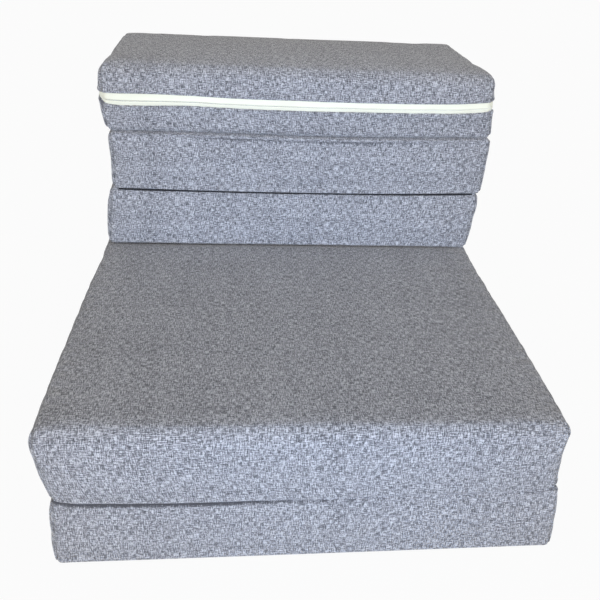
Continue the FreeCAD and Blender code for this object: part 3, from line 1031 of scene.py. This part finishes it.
stop_size = (0.0022, 0.0052, 0.0016, 1.0)
stop_form = bmesh.new()
for index, inner_index in ((1, 2), (-2, -3)):
    out, places = way_of_zip[index]
    along = (way_of_zip[inner_index][1][2] - places[2]).normalized()
    turn = Matrix((along, Vector((0, 0, 1)), out)).transposed().to_4x4()
    bmesh.ops.transform(
        stop_form, verts=bmesh.ops.create_cube(stop_form, size=1.0)["verts"],
        matrix=Matrix.Translation(places[2] - out * 0.0014) @ turn @ Matrix.Diagonal(stop_size),
    )
bmesh.ops.bevel(stop_form, geom=stop_form.edges[:], offset=0.0004, segments=2, affect="EDGES")
bmesh.ops.recalc_face_normals(stop_form, faces=stop_form.faces)
stop_mesh = bpy.data.meshes.new("zip_end_clips")
stop_form.to_mesh(stop_mesh)
stop_form.free()
stop_mesh.materials.append(zip_metal)
end_clips = placed("zip_end_clips", stop_mesh)
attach(end_clips, "back_upper")
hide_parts("zip_end_stops")


# Slider and pull. The slider is cast in zinc and lacquered ivory, and its pull hangs on its bridge.
# Both keep their solids, with the lacquer on them.

for node_name in ("zip_slider_body", "zip_pull_tab"):
    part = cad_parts[node_name]
    part.data.materials.clear()
    part.data.materials.append(zip_metal)


# Stitches. The edges of cloth along the zip are turned in and sewn down with a thread in the
# cloth's own grey, about 3 mm from the fold.

stitch_offset, above_cloth = 0.0034, 0.00005
thread = speckled(
    "grey_thread", 0.6, 900.0, 2.0, [(0.3, (0.14, 0.145, 0.17)), (0.7, (0.30, 0.31, 0.35))]
)[0]
upper_surface = surface_of(cushions["back_upper"])
for name, edge, lift in (
    ("zip_stitches_lower", 1, -stitch_offset), ("zip_stitches_upper", 3, stitch_offset),
):
    path = []
    for out, places in way_of_zip[2:-2]:
        start = places[edge] + Vector((0, 0, lift)) + out * 0.02
        path.append(cast(upper_surface, start, -out) + out * above_cloth)
    stitches = repeated_bars(
        name, path,
        {"Step": 0.0042, "First": 0.001, "Length": 0.0031, "Width": 0.0006, "Thickness": 0.0005},
        thread,
    )
    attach(stitches, "back_upper")


# Loose thread ends. Four ends of the pale sewing thread stick out of the seams a few millimetres.

pale_thread = speckled(
    "pale_thread", 0.6, 900.0, 2.0, [(0.3, (0.62, 0.62, 0.58)), (0.7, (0.86, 0.86, 0.82))]
)[0]
thread_radius, thread_sides, thread_steps = 0.00042, 6, 6
for number, (body, x, height, ahead, rise) in enumerate((
    ("seat_top", -0.284, 0.0990, -0.0030, 0.0050), ("seat_top", -0.257, 0.0975, 0.0020, 0.0060),
    ("back_upper", -0.286, 0.4010, -0.0045, -0.0035), ("seat_top", 0.316, 0.1060, 0.0030, 0.0045),
)):
    in_front = -0.45 if body == "seat_top" else 0.10
    root = cast(surfaces[body], (x, in_front, height + 0.002), (0, 1, 0))
    rows, cloth_rows = [], []
    for k in range(thread_steps + 1):
        share = k / thread_steps
        bow = -0.0022 * math.sin(share * 2.2) + 0.0010 * (1 - share)
        centre = root + Vector((ahead * share, bow, rise * share - 0.001))
        radius = thread_radius * (1 - 0.6 * share)
        turns = [i * 2 * math.pi / thread_sides for i in range(thread_sides)]
        rows.append([
            centre + Vector((radius * math.cos(a), radius * math.sin(a), 0)) for a in turns
        ])
        cloth_rows.append([(share * 0.006, i * 0.0004) for i in range(thread_sides)])
    end = strip_mesh("loose_thread_end_%d" % (number + 1), rows, cloth_rows)
    end.data.materials.append(pale_thread)
    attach(end, body)


# Floor, light and camera. A pale floor, soft light that comes in low from the front and a bluish
# window glow on the middle of the fronts, as the photograph has them, and its camera's angle.

def background_rays(tree):
    """1 for rays that meet the background from the camera, off gloss or through glass."""
    seen = knot(tree, "ShaderNodeLightPath", {}, [], "Is Camera Ray")
    either = seen.maths("MAXIMUM", seen, seen.twin("Is Glossy Ray"))
    return seen.maths("MAXIMUM", either, seen.twin("Is Transmission Ray"))


white = (1.0, 1.0, 1.0, 1.0)
floor_reach, floor_level, floor_white = 12, -0.0005, 0.95
floor_mesh = bpy.data.meshes.new("floor")
floor_mesh.from_pydata([
    (x * floor_reach, y * floor_reach, floor_level) for x, y in ((-1, -1), (1, -1), (1, 1), (-1, 1))
], [], [(0, 1, 2, 3)])
floor = placed("floor", floor_mesh)
floor_paint, floor_tree, floor_shader = new_finish("floor_paint", 0.9)
floor_shader.inputs["Base Color"].default_value = (0.45, 0.45, 0.45, 1.0)
bright = knot(floor_tree, "ShaderNodeEmission", {}, {"Color": white, "Strength": 1.0})
mixed = knot(
    floor_tree, "ShaderNodeMixShader", {},
    [
        background_rays(floor_tree) * floor_white,
        Strand(floor_tree, floor_shader.outputs[0]), bright,
    ],
)
floor_tree.links.new(mixed.socket, floor_tree.nodes["Material Output"].inputs["Surface"])
floor_mesh.materials.append(floor_paint)

# The sky is dimmer to the rear and to both sides, as in a room that is lit from the front
sky_front, sky_rear_fall, sky_side_fall = 0.66, 0.22, 0.14
world = bpy.data.worlds.new("room")
bpy.context.scene.world = world
world.use_nodes = True
room = world.node_tree
sky = room.nodes["Background"]
sky.inputs["Color"].default_value = (1.0, 0.985, 0.96, 1.0)
sky_place = knot(room, "ShaderNodeTexCoord", {}, [], "Generated")
sky_side = knot(room, "ShaderNodeSeparateXYZ", {}, [sky_place], 0)
sky_level = sky_front - sky_side.twin(1) * sky_rear_fall
sky_level = sky_level - sky_side.maths("ABSOLUTE", sky_side) * sky_side_fall
room.links.new(sky_level.socket, sky.inputs["Strength"])
backdrop = knot(room, "ShaderNodeBackground", {}, {"Color": white, "Strength": 1.0})
mixed = knot(
    room, "ShaderNodeMixShader", {},
    [background_rays(room), Strand(room, sky.outputs[0]), backdrop],
)
room.links.new(mixed.socket, room.nodes["World Output"].inputs["Surface"])


def lamp(name, kind, power, colour, place, aim):
    """A lamp that points at a place, for its own size to be set."""
    light = bpy.data.lights.new(name, kind)
    light.energy = power
    light.color = colour
    holder = placed(name, light)
    holder.location = place
    holder.rotation_mode = "QUATERNION"
    holder.rotation_quaternion = (Vector(aim) - Vector(place)).to_track_quat("-Z", "Y")
    return light


front_light = lamp(
    "front_light", "AREA", 240.0, (0.98, 0.97, 1.0), (-0.2, -6.0, 1.35), (0.0, 0.0, 0.25)
)
front_light.shape = "DISK"
front_light.size = 3.2
window_glow = lamp(
    "window_glow", "SPOT", 235.0, (0.34, 0.59, 1.0), (0.03, -2.9, 0.55), (0.03, -0.10, 0.27)
)
window_glow.spot_size = math.radians(24.0)
window_glow.spot_blend = 1.0
window_glow.shadow_soft_size = 0.3

# The photograph's camera, in pixels of its 600: the focal length and the picture's middle
photo_size, focal_length, middle_x, middle_y = 600.0, 936.0, 341.0, 282.0
yaw, pitch, roll = math.radians(8.56), math.radians(27.93), math.radians(-4.12)
ahead = Vector((math.sin(yaw) * math.cos(pitch), math.cos(yaw) * math.cos(pitch), -math.sin(pitch)))
level = Vector((math.cos(yaw), -math.sin(yaw), 0.0))
down = ahead.cross(level)
across = math.cos(roll) * level + math.sin(roll) * down
down = math.cos(roll) * down - math.sin(roll) * level
view = bpy.data.cameras.new("view")
view.sensor_width = 36.0
view.lens = focal_length / photo_size * view.sensor_width
view.shift_x = (photo_size / 2 - middle_x) / photo_size
view.shift_y = (middle_y - photo_size / 2) / photo_size
camera = placed("view", view)
turn = Matrix((across, -down, -ahead)).transposed().to_4x4()
camera.matrix_world = Matrix.Translation(Vector((-0.121, -1.281, 0.897))) @ turn
bpy.context.scene.camera = camera

bpy.context.scene.view_settings.view_transform = "Standard"
